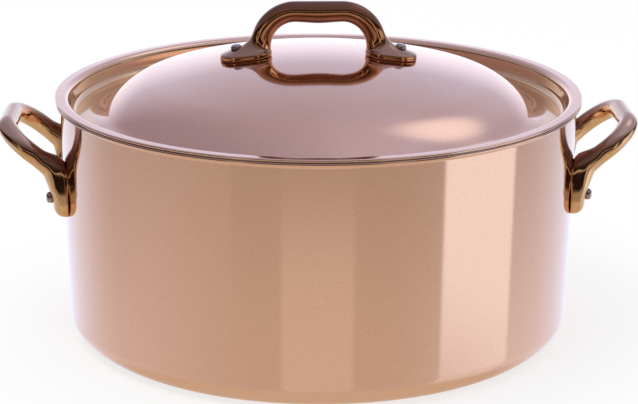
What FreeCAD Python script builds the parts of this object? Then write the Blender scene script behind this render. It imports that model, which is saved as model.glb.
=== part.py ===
# Covered copper casserole: a bonded copper and steel pot, two cast side handles and a domed lid.
# Millimetres. The origin is the centre of the base, +Z is up and the side handles lie along X.
import math
import os

import FreeCAD
import Part

# Pot
BORE_RADIUS = 140.0        # inside radius of the wall, measured at the rim
POT_HEIGHT = 132.6         # table to the top of the lip
POT_COPPER = 1.6           # copper thickness
POT_STEEL = 0.4            # lining thickness
WALL_DRAFT = 1.15          # degrees by which the wall leans outward
BASE_CORNER = 13.0         # outside radius between base and wall
LIP_FLARE = 1.5            # radius under the turned-out lip
LIP_REACH = 2.3            # lip edge beyond the wall

# Lid
LID_COPPER = 1.2           # copper thickness
LID_STEEL = 0.4            # lining thickness
LID_OVERHANG = 0.4         # flange edge beyond the lip
FLANGE_EDGE_ROUND = 0.8    # top edge of the flange
PLUG_CLEARANCE = 1.9       # between the bore and the set-in part of the lid
FLANGE_FILLET = 3.5        # flange into drop wall
GUTTER_DEPTH = 10.5        # flange top down to the gutter floor
GUTTER_FILLET = 1.5        # drop wall into gutter floor
GUTTER_WIDTH = 13.5        # drop wall to the widest circle of the shoulder arc
DOME_FOOT_FILLET = 5.0     # gutter floor into dome
DOME_RISE = 30.8           # gutter floor up to the apex
SHOULDER_RADIUS = 42.0     # arc at the dome's edge
CROWN_RADIUS = 365.0       # arc over the dome's middle

# Side handles
SIDE_BAR = 10.6            # diameter of bar and legs
SIDE_SPREAD = 62.0         # between the two legs
SIDE_REACH = 28.4          # bar beyond the pads
SIDE_SLOPE = 38.3          # degrees by which the legs rise
SIDE_ROOT = 96.0           # height where the legs leave the pads
SIDE_BEND = 18.0           # bend between pad and leg
SIDE_CORNER = 16.0         # bend between leg and bar
ROOT_FLARE = 1.2           # extra radius of the legs at the wall
ROOT_FLARE_LENGTH = 18.0   # length over which the legs thin out
PAD_WIDTH = 18.0           # across each pad
PAD_THICKNESS = 7.6        # wall to the pad's outer face
PAD_BOTTOM = 71.0          # lowest point of the pads
PAD_EDGE_ROUND = 2.4       # outer edge of the pads
PAD_RIVET_RISE = 11.5      # pad bottom up to the rivet

# Lid handle
BRIDGE_BAR = 11.2          # diameter of bar and legs
BRIDGE_SPREAD = 62.4       # between the two legs
BRIDGE_HEIGHT = 23.4       # dome apex up to the bar's centre line
BRIDGE_CORNER = 19.0       # bend between leg and bar
BRIDGE_SWELL = 0.8         # extra radius in the middle of the grip
BRIDGE_SWELL_LENGTH = 22.0 # length of that swelling
FOOT_LENGTH = 28.6         # along the handle
FOOT_WIDTH = 21.0          # across the handle
FOOT_INSET = 5.6           # leg centre line to the foot's inner end
FOOT_THICKNESS = 4.8       # dome to the foot's upper face
FOOT_EDGE_ROUND = 1.8      # upper edge of the feet
FOOT_FLARE = 4.2           # widening of the leg where it meets the foot
FOOT_FLARE_HEIGHT = 8.0    # height of that widening
FOOT_RIVET_INSET = 9.8     # foot tip back to the rivet

# Rivets
SHANK = 5.0                # diameter
HEAD = 6.2                 # diameter of the outer head
HEAD_HEIGHT = 3.1          # outer head above its seat
HEAD_ROUND = 1.0           # edge of the outer head
INNER_HEAD = 12.0          # diameter of the inner head
INNER_HEAD_HEIGHT = 1.8    # inner head above the lining
INNER_HEAD_ROUND = 1.0     # edge of the inner head

# Fits
CAST_GAP = 0.05            # between a casting and the copper that it is riveted to
SHANK_GAP = 0.1            # round a rivet's shank
SEAT_GAP = 0.02            # under a rivet's outer head

# Sizes that follow
POT_WALL = POT_COPPER + POT_STEEL
LID_WALL = LID_COPPER + LID_STEEL
WALL_RADIUS = BORE_RADIUS + POT_WALL
LIP_RADIUS = WALL_RADIUS + LIP_REACH
DRAFT = math.radians(WALL_DRAFT)
FLANGE_RADIUS = LIP_RADIUS + LID_OVERHANG
FLANGE_TOP = POT_HEIGHT + LID_WALL
DROP_RADIUS = BORE_RADIUS - PLUG_CLEARANCE - LID_WALL
GUTTER_FLOOR = FLANGE_TOP - GUTTER_DEPTH
APEX = GUTTER_FLOOR + DOME_RISE
REACH_PAST = 30.0          # how far a cutting tool runs past what it cuts
SAME_PLACE = 1e-4          # distance below which two places count as one

ORIGIN = FreeCAD.Vector(0, 0, 0)
UP = FreeCAD.Vector(0, 0, 1)


def point(radius, height):
    """A point of the XZ half-plane that the round pieces are turned from."""
    return FreeCAD.Vector(radius, 0, height)


def line(start, end):
    return Part.LineSegment(start, end).toShape()


def arc(centre, radius, start, end):
    """An arc in the XZ plane, from one angle to another in degrees from +X towards +Z."""
    def at(degrees):
        angle = math.radians(degrees)
        return centre + point(radius * math.cos(angle), radius * math.sin(angle))
    return Part.Arc(at(start), at((start + end) / 2), at(end)).toShape()


def first(edge):
    return edge.valueAt(edge.FirstParameter)


def last(edge):
    return edge.valueAt(edge.LastParameter)


def turned(edges):
    """The solid turned about Z from a closed run of edges."""
    return Part.Face(Part.Wire(edges)).revolve(ORIGIN, UP, 360)


def layer(surface, start_depth, end_depth):
    """The sheet that lies between two depths of a round surface."""
    outside = surface(start_depth)
    inside = surface(end_depth)
    rim = line(last(outside[-1]), last(inside[-1]))
    middle = line(first(inside[0]), first(outside[0]))
    return turned(outside + [rim] + inside[::-1] + [middle])


def under(surface, depth, height):
    """Everything between a round surface and the level plane at a height."""
    edges = surface(depth)
    end = last(edges[-1])
    side = line(end, point(end.x, height))
    level = line(point(end.x, height), point(0, height))
    middle = line(point(0, height), first(edges[0]))
    return turned(edges + [side, level, middle])


def wall_radius_at(height):
    """Outer radius of the pot's wall at a height."""
    return WALL_RADIUS - (POT_HEIGHT - height) * math.tan(DRAFT)


def pot_surface(depth):
    """The pot's outer face, moved inward by a depth: base, corner, wall, flare and lip."""
    corner_height = BASE_CORNER * (1 - math.sin(DRAFT))
    corner = point(wall_radius_at(corner_height) - BASE_CORNER * math.cos(DRAFT), BASE_CORNER)
    flare_base = POT_HEIGHT - POT_WALL - LIP_FLARE
    flare_height = flare_base + LIP_FLARE * math.sin(DRAFT)
    flare = point(wall_radius_at(flare_height) + LIP_FLARE * math.cos(DRAFT), flare_base)
    corner_arc = arc(corner, BASE_CORNER - depth, -90, -WALL_DRAFT)
    flare_arc = arc(flare, LIP_FLARE + depth, 180 - WALL_DRAFT, 90)
    base = line(point(0, depth), first(corner_arc))
    wall = line(last(corner_arc), first(flare_arc))
    lip = line(last(flare_arc), point(LIP_RADIUS, last(flare_arc).z))
    return [base, corner_arc, wall, flare_arc, lip]


def lid_surface(depth):
    """The lid's upper face, moved down by a depth: crown, shoulder, gutter, drop wall and flange."""
    crown = point(0, APEX - CROWN_RADIUS)
    shoulder_offset = DROP_RADIUS - GUTTER_WIDTH - SHOULDER_RADIUS
    centres_apart = CROWN_RADIUS - SHOULDER_RADIUS
    shoulder = crown + point(shoulder_offset, math.sqrt(centres_apart ** 2 - shoulder_offset ** 2))
    fillet_drop = GUTTER_FLOOR + DOME_FOOT_FILLET - shoulder.z
    fillets_apart = SHOULDER_RADIUS + DOME_FOOT_FILLET
    fillet = shoulder + point(math.sqrt(fillets_apart ** 2 - fillet_drop ** 2), fillet_drop)
    gutter = point(DROP_RADIUS - GUTTER_FILLET, GUTTER_FLOOR + GUTTER_FILLET)
    flange = point(DROP_RADIUS + FLANGE_FILLET, FLANGE_TOP - FLANGE_FILLET)
    crown_end = math.degrees(math.acos(shoulder_offset / centres_apart))
    shoulder_end = math.degrees(math.asin(fillet_drop / fillets_apart))
    crown_arc = arc(crown, CROWN_RADIUS - depth, 90, crown_end)
    shoulder_arc = arc(shoulder, SHOULDER_RADIUS - depth, crown_end, shoulder_end)
    foot_arc = arc(fillet, DOME_FOOT_FILLET + depth, 180 + shoulder_end, 270)
    gutter_arc = arc(gutter, GUTTER_FILLET + depth, 270, 360)
    flange_arc = arc(flange, FLANGE_FILLET - depth, 180, 90)
    floor = line(last(foot_arc), first(gutter_arc))
    drop = line(last(gutter_arc), first(flange_arc))
    rim = line(last(flange_arc), point(FLANGE_RADIUS, last(flange_arc).z))
    return [crown_arc, shoulder_arc, foot_arc, floor, gutter_arc, drop, flange_arc, rim]


def rounded_path(corners, radii):
    """Straight runs through the corners, joined by tangent arcs of the given radii."""
    edges = []
    start = corners[0]
    for before, corner, after, radius in zip(corners, corners[1:], corners[2:], radii):
        back = (before - corner).normalize()
        ahead = (after - corner).normalize()
        half_opening = back.getAngle(ahead) / 2
        entry = corner + back * (radius / math.tan(half_opening))
        leave = corner + ahead * (radius / math.tan(half_opening))
        inward = (back + ahead).normalize()
        middle = corner + inward * (radius / math.sin(half_opening) - radius)
        edges.append(line(start, entry))
        edges.append(Part.Arc(entry, middle, leave).toShape())
        start = leave
    edges.append(line(start, corners[-1]))
    return Part.Wire(edges)


def tube(path, diameter):
    """A round bar along a path."""
    start = path.Edges[0]
    section = Part.Circle(first(start), start.tangentAt(start.FirstParameter), diameter / 2)
    return path.makePipe(Part.Face(Part.Wire(section.toShape())))


def edges_on(shape, tester):
    """The edges of which every vertex and the middle pass a test."""
    found = []
    for edge in shape.Edges:
        middle = edge.valueAt((edge.FirstParameter + edge.LastParameter) / 2)
        if all(tester(spot) for spot in [vertex.Point for vertex in edge.Vertexes] + [middle]):
            found.append(edge)
    return found


def near(value, target):
    return abs(value - target) < SAME_PLACE


def crown_ball(radius):
    """A ball about the crown's centre, with its seam turned away from the feet."""
    ball = Part.makeSphere(radius)
    ball.rotate(ORIGIN, UP, 90)
    ball.translate(CROWN_CENTRE)
    return ball


# Places that handles, rivets and holes share
PAD_RADIUS = wall_radius_at(SIDE_ROOT) + PAD_THICKNESS / 2
PAD_FACE = PAD_RADIUS + PAD_THICKNESS / 2
PAD_AZIMUTH = math.degrees(math.asin(SIDE_SPREAD / 2 / PAD_RADIUS))
PAD_RIVET_HEIGHT = PAD_BOTTOM + PAD_RIVET_RISE
FOOT_TIP = BRIDGE_SPREAD / 2 - FOOT_INSET + FOOT_LENGTH
FOOT_RIVET_TILT = math.degrees(math.asin((FOOT_TIP - FOOT_RIVET_INSET) / CROWN_RADIUS))
CROWN_CENTRE = point(0, APEX - CROWN_RADIUS)


def pad_axis(side, end):
    """Placement whose X axis is a side rivet's axis; side is +1 right, end is +1 rear."""
    azimuth = end * PAD_AZIMUTH if side > 0 else 180 - end * PAD_AZIMUTH
    return FreeCAD.Placement(point(0, PAD_RIVET_HEIGHT), FreeCAD.Rotation(UP, azimuth))


def foot_axis(side):
    """Placement whose X axis is a lid rivet's axis, square to the dome."""
    tilt = FreeCAD.Rotation(FreeCAD.Vector(0, 1, 0), side * FOOT_RIVET_TILT - 90)
    return FreeCAD.Placement(CROWN_CENTRE, tilt)


RIVETS = {
    "left_handle_front_rivet": pad_axis(-1, -1),
    "left_handle_rear_rivet": pad_axis(-1, 1),
    "right_handle_front_rivet": pad_axis(1, -1),
    "right_handle_rear_rivet": pad_axis(1, 1),
    "lid_left_rivet": foot_axis(-1),
    "lid_right_rivet": foot_axis(1),
}


def rod(placement, start, end, diameter):
    """A cylinder along a placement's X axis, between two distances."""
    solid = Part.makeCylinder(diameter / 2, end - start, point(start, 0), FreeCAD.Vector(1, 0, 0))
    solid.Placement = placement
    return solid


def drilled(shape, placements, seat):
    """A shape with a rivet hole at each placement."""
    for placement in placements:
        hole = rod(placement, seat - REACH_PAST, seat + REACH_PAST, SHANK + 2 * SHANK_GAP)
        shape = shape.cut(hole)
    return shape


def rivet(placement, seat, inner_face, inside):
    """One rivet: outer head on its seat, shank, and a low inner head shaped to the lining."""
    head = Part.makeCylinder(HEAD / 2, HEAD_HEIGHT, point(seat + SEAT_GAP, 0), FreeCAD.Vector(1, 0, 0))
    outer_end = seat + SEAT_GAP + HEAD_HEIGHT
    head = head.makeFillet(HEAD_ROUND, edges_on(head, lambda spot: near(spot.x, outer_end)))
    inner_end = inner_face - INNER_HEAD_HEIGHT
    inner = Part.makeCylinder(INNER_HEAD / 2, 2 * INNER_HEAD_HEIGHT, point(inner_end, 0),
                              FreeCAD.Vector(1, 0, 0))
    inner = inner.makeFillet(INNER_HEAD_ROUND, edges_on(inner, lambda spot: near(spot.x, inner_end)))
    head.Placement = placement
    inner.Placement = placement
    shank = rod(placement, inner_end + INNER_HEAD_ROUND, seat + HEAD_ROUND, SHANK)
    return inner.common(inside).fuse([shank, head]).removeSplitter()


def side_pad():
    """One pad of the right handle, before the pot's wall is cut from it; its face looks along X."""
    half_width = PAD_WIDTH / 2
    half_bar = SIDE_BAR / 2
    round_centre = PAD_BOTTOM + half_width
    shoulder = SIDE_ROOT - half_width / 2
    start = PAD_RADIUS - PAD_THICKNESS
    spots = [(half_width, round_centre), (half_width, shoulder), (half_bar, SIDE_ROOT),
             (-half_bar, SIDE_ROOT), (-half_width, shoulder), (-half_width, round_centre)]
    corners = [FreeCAD.Vector(start, across, height) for across, height in spots]
    edges = [line(one, other) for one, other in zip(corners, corners[1:])]
    lowest = FreeCAD.Vector(start, 0, PAD_BOTTOM)
    edges.append(Part.Arc(corners[-1], lowest, corners[0]).toShape())
    pad = Part.Face(Part.Wire(edges)).extrude(FreeCAD.Vector(PAD_FACE - start, 0, 0))
    return pad.makeFillet(PAD_EDGE_ROUND, edges_on(pad, lambda spot: near(spot.x, PAD_FACE)))


def right_handle():
    """The cast loop: two pads on the wall, two legs that bend outward, and the bar between them."""
    half_spread = SIDE_SPREAD / 2
    half_bar = SIDE_BAR / 2
    pad_x = PAD_RADIUS * math.cos(math.radians(PAD_AZIMUTH))
    bar_x = pad_x + SIDE_REACH
    bar_height = SIDE_ROOT + SIDE_REACH * math.tan(math.radians(SIDE_SLOPE))
    bend_drop = SIDE_BEND * math.tan(math.radians(90 - SIDE_SLOPE) / 2)
    stub = SIDE_ROOT - bend_drop - half_bar / 2
    leg_direction = point(SIDE_REACH, bar_height - SIDE_ROOT).normalize()
    corners = []
    for end in (-1, 1):
        leg = [FreeCAD.Vector(pad_x, end * half_spread, stub),
               FreeCAD.Vector(pad_x, end * half_spread, SIDE_ROOT),
               FreeCAD.Vector(bar_x, end * half_spread, bar_height)]
        corners += leg[::-end]
    loop = tube(rounded_path(corners, [SIDE_BEND, SIDE_CORNER, SIDE_CORNER, SIDE_BEND]), SIDE_BAR)
    pieces = []
    for end in (-1, 1):
        pad = side_pad()
        pad.rotate(ORIGIN, UP, end * PAD_AZIMUTH)
        foot = FreeCAD.Vector(pad_x, end * half_spread, PAD_RIVET_HEIGHT)
        rib = Part.makeCone(PAD_THICKNESS / 2, half_bar, stub - PAD_RIVET_HEIGHT, foot)
        root = FreeCAD.Vector(pad_x, end * half_spread, SIDE_ROOT) - leg_direction * PAD_THICKNESS
        flare = Part.makeCone(half_bar + ROOT_FLARE, half_bar, ROOT_FLARE_LENGTH, root, leg_direction)
        pieces += [pad, rib, flare]
    casting = loop.fuse(pieces)
    for end in (-1, 1):
        seat = rod(pad_axis(1, end), PAD_FACE, PAD_FACE + REACH_PAST, HEAD + HEAD_ROUND)
        casting = casting.cut(seat)
    casting = casting.cut(under(pot_surface, -CAST_GAP, POT_HEIGHT))
    return drilled(casting, [pad_axis(1, -1), pad_axis(1, 1)], PAD_FACE).removeSplitter()


def bridge_foot(side):
    """One tongue-shaped foot that follows the dome."""
    half_width = FOOT_WIDTH / 2
    inner = BRIDGE_SPREAD / 2 - FOOT_INSET + half_width
    outer = FOOT_TIP - half_width
    spots = [(inner, half_width), (outer, half_width), (outer, -half_width), (inner, -half_width)]
    corners = [FreeCAD.Vector(along, across, GUTTER_FLOOR) for along, across in spots]
    tip = Part.Arc(corners[1], point(FOOT_TIP, GUTTER_FLOOR), corners[2]).toShape()
    heel = Part.Arc(corners[3], point(inner - half_width, GUTTER_FLOOR), corners[0]).toShape()
    edges = [line(corners[0], corners[1]), tip, line(corners[2], corners[3]), heel]
    prism = Part.Face(Part.Wire(edges)).extrude(UP * (DOME_RISE + REACH_PAST))
    top = CROWN_RADIUS + FOOT_THICKNESS
    foot = prism.common(crown_ball(top))
    foot = foot.makeFillet(FOOT_EDGE_ROUND,
                           edges_on(foot, lambda spot: near(spot.distanceToPoint(CROWN_CENTRE), top)))
    if side < 0:
        foot.rotate(ORIGIN, UP, 180)
    return foot


def lid_handle():
    """The cast bridge: two feet, flared legs, round corners and a grip that swells in the middle."""
    half_spread = BRIDGE_SPREAD / 2
    bar_height = APEX + BRIDGE_HEIGHT
    ground = APEX - DOME_RISE / 2
    corners = [point(-half_spread, ground), point(-half_spread, bar_height),
               point(half_spread, bar_height), point(half_spread, ground)]
    bridge = tube(rounded_path(corners, [BRIDGE_CORNER, BRIDGE_CORNER]), BRIDGE_BAR)
    half_bar = BRIDGE_BAR / 2
    half_swell = BRIDGE_SWELL_LENGTH / 2
    ends = [point(-half_swell, bar_height + half_bar), point(half_swell, bar_height + half_bar)]
    belly = Part.Arc(ends[0], point(0, bar_height + half_bar + BRIDGE_SWELL), ends[1]).toShape()
    axis = [point(half_swell, bar_height), point(-half_swell, bar_height)]
    edges = [belly, line(ends[1], axis[0]), line(axis[0], axis[1]), line(axis[1], ends[0])]
    swell = Part.Face(Part.Wire(edges)).revolve(axis[0], FreeCAD.Vector(1, 0, 0), 360)
    pieces = [swell]
    for side in (-1, 1):
        flare_base = point(side * half_spread, APEX)
        flare = Part.makeCone(half_bar + FOOT_FLARE, half_bar, FOOT_FLARE_HEIGHT, flare_base)
        pieces += [bridge_foot(side), flare]
    casting = bridge.fuse(pieces)
    casting = casting.cut(crown_ball(CROWN_RADIUS + CAST_GAP))
    seat = CROWN_RADIUS + FOOT_THICKNESS
    for side in (-1, 1):
        casting = casting.cut(rod(foot_axis(side), seat, seat + REACH_PAST, HEAD + HEAD_ROUND))
    return drilled(casting, [foot_axis(-1), foot_axis(1)], seat).removeSplitter()


def build():
    """Every piece by its node name."""
    pot_holes = [place for name, place in RIVETS.items() if not name.startswith("lid")]
    lid_holes = [place for name, place in RIVETS.items() if name.startswith("lid")]
    nodes = {}
    nodes["pot_shell"] = drilled(layer(pot_surface, 0, POT_COPPER), pot_holes, WALL_RADIUS)
    nodes["pot_lining"] = drilled(layer(pot_surface, POT_COPPER, POT_WALL), pot_holes, WALL_RADIUS)
    lid_shell = layer(lid_surface, 0, LID_COPPER)
    on_edge = edges_on(lid_shell, lambda spot: near(math.hypot(spot.x, spot.y), FLANGE_RADIUS)
                       and near(spot.z, FLANGE_TOP))
    lid_shell = lid_shell.makeFillet(FLANGE_EDGE_ROUND, on_edge)
    nodes["lid_shell"] = drilled(lid_shell, lid_holes, CROWN_RADIUS)
    nodes["lid_lining"] = drilled(layer(lid_surface, LID_COPPER, LID_WALL), lid_holes, CROWN_RADIUS)
    nodes["right_handle"] = right_handle()
    nodes["left_handle"] = nodes["right_handle"].rotated(ORIGIN, UP, 180)
    nodes["lid_handle"] = lid_handle()
    cavity = under(pot_surface, POT_WALL, POT_HEIGHT + REACH_PAST)
    below_lid = under(lid_surface, LID_WALL, 0)
    pot_inner_face = wall_radius_at(PAD_RIVET_HEIGHT) - POT_WALL
    for name, place in RIVETS.items():
        if name.startswith("lid"):
            nodes[name] = rivet(place, CROWN_RADIUS + FOOT_THICKNESS, CROWN_RADIUS - LID_WALL, below_lid)
        else:
            nodes[name] = rivet(place, PAD_FACE, pot_inner_face, cavity)
    return nodes


os.makedirs("parts", exist_ok=True)
for node, shape in build().items():
    shape.exportStep(os.path.join("parts", node + ".step"))
    box = shape.BoundBox
    print(f"{node}: {len(shape.Solids)} solid, valid {shape.isValid()}, {shape.Volume / 1000:.2f} cm3,"
          f" x {box.XMin:.2f} to {box.XMax:.2f}, y {box.YMin:.2f} to {box.YMax:.2f},"
          f" z {box.ZMin:.2f} to {box.ZMax:.2f}")
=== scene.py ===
"""Covered copper casserole: turned copper and steel shells, cast bronze handles and steel rivets."""
import math
from collections import namedtuple

import bpy
from mathutils import Matrix, Vector


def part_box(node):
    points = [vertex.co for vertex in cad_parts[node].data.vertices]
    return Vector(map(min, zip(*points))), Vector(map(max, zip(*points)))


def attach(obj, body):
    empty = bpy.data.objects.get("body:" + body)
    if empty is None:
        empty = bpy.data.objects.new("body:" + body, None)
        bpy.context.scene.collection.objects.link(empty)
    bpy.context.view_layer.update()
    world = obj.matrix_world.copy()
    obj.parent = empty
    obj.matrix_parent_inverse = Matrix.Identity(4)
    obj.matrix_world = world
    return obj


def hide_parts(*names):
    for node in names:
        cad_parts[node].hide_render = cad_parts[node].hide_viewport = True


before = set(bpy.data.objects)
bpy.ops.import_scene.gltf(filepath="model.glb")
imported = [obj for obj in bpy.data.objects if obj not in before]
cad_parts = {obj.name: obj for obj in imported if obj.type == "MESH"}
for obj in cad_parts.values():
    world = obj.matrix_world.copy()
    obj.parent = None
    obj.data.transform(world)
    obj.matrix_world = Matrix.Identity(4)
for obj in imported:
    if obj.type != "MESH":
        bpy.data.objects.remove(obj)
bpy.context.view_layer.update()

MM = 0.001

# Pot, in metres
POT_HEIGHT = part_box("pot_lining")[1][2]
LIP_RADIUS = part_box("pot_shell")[1][0]
POT_COPPER = 1.6 * MM
POT_STEEL = 0.4 * MM
POT_WALL = POT_COPPER + POT_STEEL
LIP_REACH = 2.3 * MM
WALL_RADIUS = LIP_RADIUS - LIP_REACH
WALL_DRAFT = 1.15    # degrees
BASE_CORNER = 13.0 * MM
LIP_FLARE = 1.5 * MM
LIP_EDGE_ROUND = 0.6 * MM
LINING_RECESS = 1.2 * MM
LINING_EDGE_SHARE = 0.9    # of the steel's thickness

# Lid
LID_COPPER = 1.2 * MM
LID_STEEL = 0.4 * MM
LID_WALL = LID_COPPER + LID_STEEL
FLANGE_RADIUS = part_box("lid_shell")[1][0]
FLANGE_TOP = POT_HEIGHT + LID_WALL
FLANGE_EDGE_ROUND = 0.8 * MM
DROP_RADIUS = 136.5 * MM
FLANGE_FILLET = 3.5 * MM
GUTTER_DEPTH = 11.5 * MM
GUTTER_FLOOR = FLANGE_TOP - GUTTER_DEPTH
GUTTER_FILLET = 4.0 * MM
GUTTER_WIDTH = 7.6 * MM
DOME_FOOT_RADIUS = DROP_RADIUS - GUTTER_WIDTH
DOME_FOOT_FILLET = 12.0 * MM
SHOULDER_RADIUS = 49.0 * MM
CROWN_RADIUS = 365.0 * MM
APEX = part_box("lid_shell")[1][2]

# Side handles
SIDE_BAR = 10.3 * MM
SIDE_SPREAD = 62.0 * MM
SIDE_REACH = 28.3 * MM
SIDE_SLOPE = 38.3    # degrees
SIDE_ROOT = 96.0 * MM
SIDE_BEND = 14.0 * MM
SIDE_CORNER = 18.5 * MM
SIDE_SQUARENESS = 2.2
ROOT_FLARE = 2.0 * MM
ROOT_LIFT = 0.6
ROOT_FLARE_LENGTH = 14.0 * MM
PAD_WIDTH = 18.0 * MM
PAD_BOTTOM = 71.0 * MM
PAD_TIP_THICKNESS = 7.4 * MM
PAD_THICKNESS = 7.6 * MM
PAD_ROOT_THICKNESS = 10.8 * MM
PAD_TIP_ROUND = 6.0 * MM
PAD_RIVET_HEIGHT = 82.5 * MM
PAD_SQUARENESS = 2.6
BACK_SQUARENESS = 9.0
LEG_START = 0.4    # share of the pad's length at which the leg begins to form
LEG_SPAN = 0.85    # share of the pad's length over which it forms

# Lid handle
BRIDGE_BAR = 11.2 * MM
BRIDGE_SPREAD = 63.2 * MM
BRIDGE_HEIGHT = 23.4 * MM
BRIDGE_CORNER = 19.0 * MM
BRIDGE_SWELL = 0.8 * MM
BRIDGE_SWELL_LENGTH = 9.0 * MM
BRIDGE_SQUARENESS = 2.2
FOOT_TIP = 54.2 * MM
FOOT_HEEL = 25.6 * MM
FOOT_WIDTH = 21.0 * MM
FOOT_BAND = 2.4 * MM
FOOT_EDGE_ROUND = 1.2 * MM
FOOT_SOLE_ROUND = 0.9 * MM
FLARE_HEIGHT = 10.0 * MM
FOOT_THICKNESS = 4.8 * MM
FOOT_RIVET_INSET = 9.8 * MM
FOOT_PULL_IN = 0.6    # of the way from the foot's edge to the leg
FOOT_PULL_UP = 0.26   # of that way
LEG_PULL_DOWN = 0.7   # of the rise from the foot's edge to the leg
LEG_LEAD = 4.0 * MM

# Rivets
SHANK = 5.0 * MM
HEAD = 6.2 * MM
HEAD_HEIGHT = 3.1 * MM
HEAD_ROUND = 1.9 * MM
INNER_HEAD = 12.0 * MM
INNER_HEAD_HEIGHT = 1.8 * MM

# How finely round shapes are cut
TURN_STEPS = 360
RIVET_STEPS = 48
SECTION_STEPS = 64
ARC_STEP = 4.0       # degrees
ARC_CHORD = 2.618 * MM
EDGE_SUPPORT = 0.5 * MM
SIDE_SPACING = 0.6 * MM
TIP_RISES = (0.03 * MM, 0.12 * MM, 0.3 * MM)
BRIDGE_SPACING = 0.8 * MM
SOLE_STEPS = 6
BAND_STEPS = 4
EDGE_STEPS = 5
EDGE_TURN = 70.0     # degrees
BLEND_STEPS = 24
MERGE_DISTANCE = 0.001 * MM
CONTACT_GAP = 0.05 * MM
LEAST = 1e-6

# Tones of the metals, as linear red, green and blue
BODY_BRIGHT = (0.925, 0.64, 0.53)
BODY_DEEP = (0.885, 0.59, 0.47)
BODY_WALL = (0.90, 0.62, 0.50)
LID_BRIGHT = (0.92, 0.645, 0.555)
LID_DEEP = (0.88, 0.595, 0.505)
# painted reflection: a warmer tone for the lid's gutter and drop wall that stands in for their
# reflections
LID_GUTTER_PAINTED_REFLECTION = (0.83, 0.59, 0.38)
# painted shade in the seam where the lid's flange rests on the pot's lip
SEAM_PAINTED_SHADE = (0.50, 0.30, 0.24)
SATIN_BROWN = (0.5, 0.3, 0.22)
LINING_DARK = (0.56, 0.55, 0.55)
LINING_PALE = (0.70, 0.69, 0.68)
BRONZE_BRIGHT = (0.84, 0.58, 0.34)
BRONZE_DEEP = (0.70, 0.44, 0.24)
# painted shade on the side handles' undersides, kept near their bright tone
BRONZE_UNDERSIDE_SHADE = (0.80, 0.56, 0.34)
BRONZE_TOP = (0.17, 0.075, 0.05)
BRIDGE_BRIGHT = (0.82, 0.44, 0.23)
BRIDGE_DEEP = (0.56, 0.265, 0.135)
# painted shade on the lid handle's underside
BRIDGE_UNDERSIDE_SHADE = (0.26, 0.12, 0.07)
BRIDGE_FOOT_TOP = (0.40, 0.25, 0.20)
BRIDGE_GRIP_TOP = (0.21, 0.10, 0.075)
# painted sheen: paler tops on the side handles' outer grips, where they catch the light
BRONZE_PAINTED_SHEEN = (0.62, 0.44, 0.36)
RIVET_DARK = (0.26, 0.20, 0.20)
RIVET_PALE = (0.56, 0.49, 0.48)

# Where the metals change their tone: start and end of each soft step
# Beyond this radius the pot takes its wall tone and the lid its painted gutter reflection tone
OUTER_TONE = (DOME_FOOT_RADIUS - 9 * MM, DOME_FOOT_RADIUS - 1 * MM)
FLANGE_TONE = (FLANGE_TOP - 2 * MM, FLANGE_TOP - 0.4 * MM)
# Painted shade in the seam between the lid's flange and the pot's lip
SEAM_HALF_WIDTH = (0.25 * MM, 0.7 * MM)
SEAM_RADIUS = (DROP_RADIUS + 3 * MM, DROP_RADIUS + 5 * MM)
# Painted sheen on top of the side handles' outer grips
SHEEN_RADIUS = (LIP_RADIUS + 5 * MM, LIP_RADIUS + 24 * MM)
GRIP_TOP_HEIGHT = (APEX + 6 * MM, APEX + 18 * MM)

# How strongly each pattern tells on the metals
COPPER_CLOUD_STEP = (0.35, 0.75)
COPPER_SATIN_STEP = (0.35, 0.65)
COPPER_SATIN_SHARE = 0.12
COPPER_ROUGHNESS = 0.03
COPPER_CLOUD_ROUGHNESS = 0.035
COPPER_RING_ROUGHNESS = 0.02
COPPER_SATIN_ROUGHNESS = 0.02
SEAM_ROUGHNESS = 0.15
COPPER_RING_RELIEF = 0.6
COPPER_GRAIN_RELIEF = 0.4
LINING_ROUGHNESS = 0.22
LINING_RING_ROUGHNESS = 0.12
LINING_CLOUD_ROUGHNESS = 0.05
BRONZE_CLOUD_STEP = (0.3, 0.7)
BRONZE_TOP_STEP = (0.3, 0.75)
BRONZE_TOP_UNEVENNESS = 0.3
BRONZE_UNDERSIDE_SHADE_STEP = (0.2, 0.8)
BRONZE_ROUGHNESS = 0.035
BRONZE_CLOUD_ROUGHNESS = 0.05
TOP_BROWN_ROUGHNESS = 0.10
BRONZE_GRAIN_RELIEF = 0.03
RIVET_ROUGHNESS = 0.12
RIVET_CLOUD_ROUGHNESS = 0.15

# Studio that metal sees: azimuths in degrees from the front to the right, heights as a direction's Z
Panel = namedtuple("Panel", "tone azimuths edge")
LEFT_CARD = Panel((0.80, 0.68, 0.58), (-102, -40), 1.2)
LEFT_CARD_SHARE = 0.16
LEFT_CARD_DROPS = (0.3, 0.4)
FRONT_CARD = Panel((0.62, 0.53, 0.45), (-18, 14), 1.5)
FRONT_CARD_DROPS = (0.31, 0.36)
SOFT_BOX = Panel((1.02, 1.03, 1.05), (55, 94), 1.1)
SOFT_BOX_LOSS = 0.65
SOFT_BOX_DROPS = (0.35, 0.42)
SOFT_BOX_TOP = Panel((0.98, 0.95, 0.94), (57, 106), 3.0)
SOFT_BOX_TOP_HEIGHTS = (0.08, 0.26)
LEFT_GLINT = Panel((0.85, 0.70, 0.56), (-40, -31), 4.0)
RIGHT_GLINT = Panel((0.85, 0.70, 0.56), (25, 37), 4.0)
GLINT_SHARE = 0.7
GLINT_HEIGHTS = (0.1, 0.4)
LEDGE_TONE = (0.85, 0.70, 0.56)
LEDGE_SHARE = 0.6
LEDGE_HEIGHTS = (0.10, 0.15)
LEDGE_EDGE = 0.02
LEDGE_AHEAD = (0.3, 0.6)
TABLE_FRONT = (0.54, 0.45, 0.37)
TABLE_LEFT = (0.64, 0.57, 0.54)
TABLE_RIGHT = (0.71, 0.67, 0.68)
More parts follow.
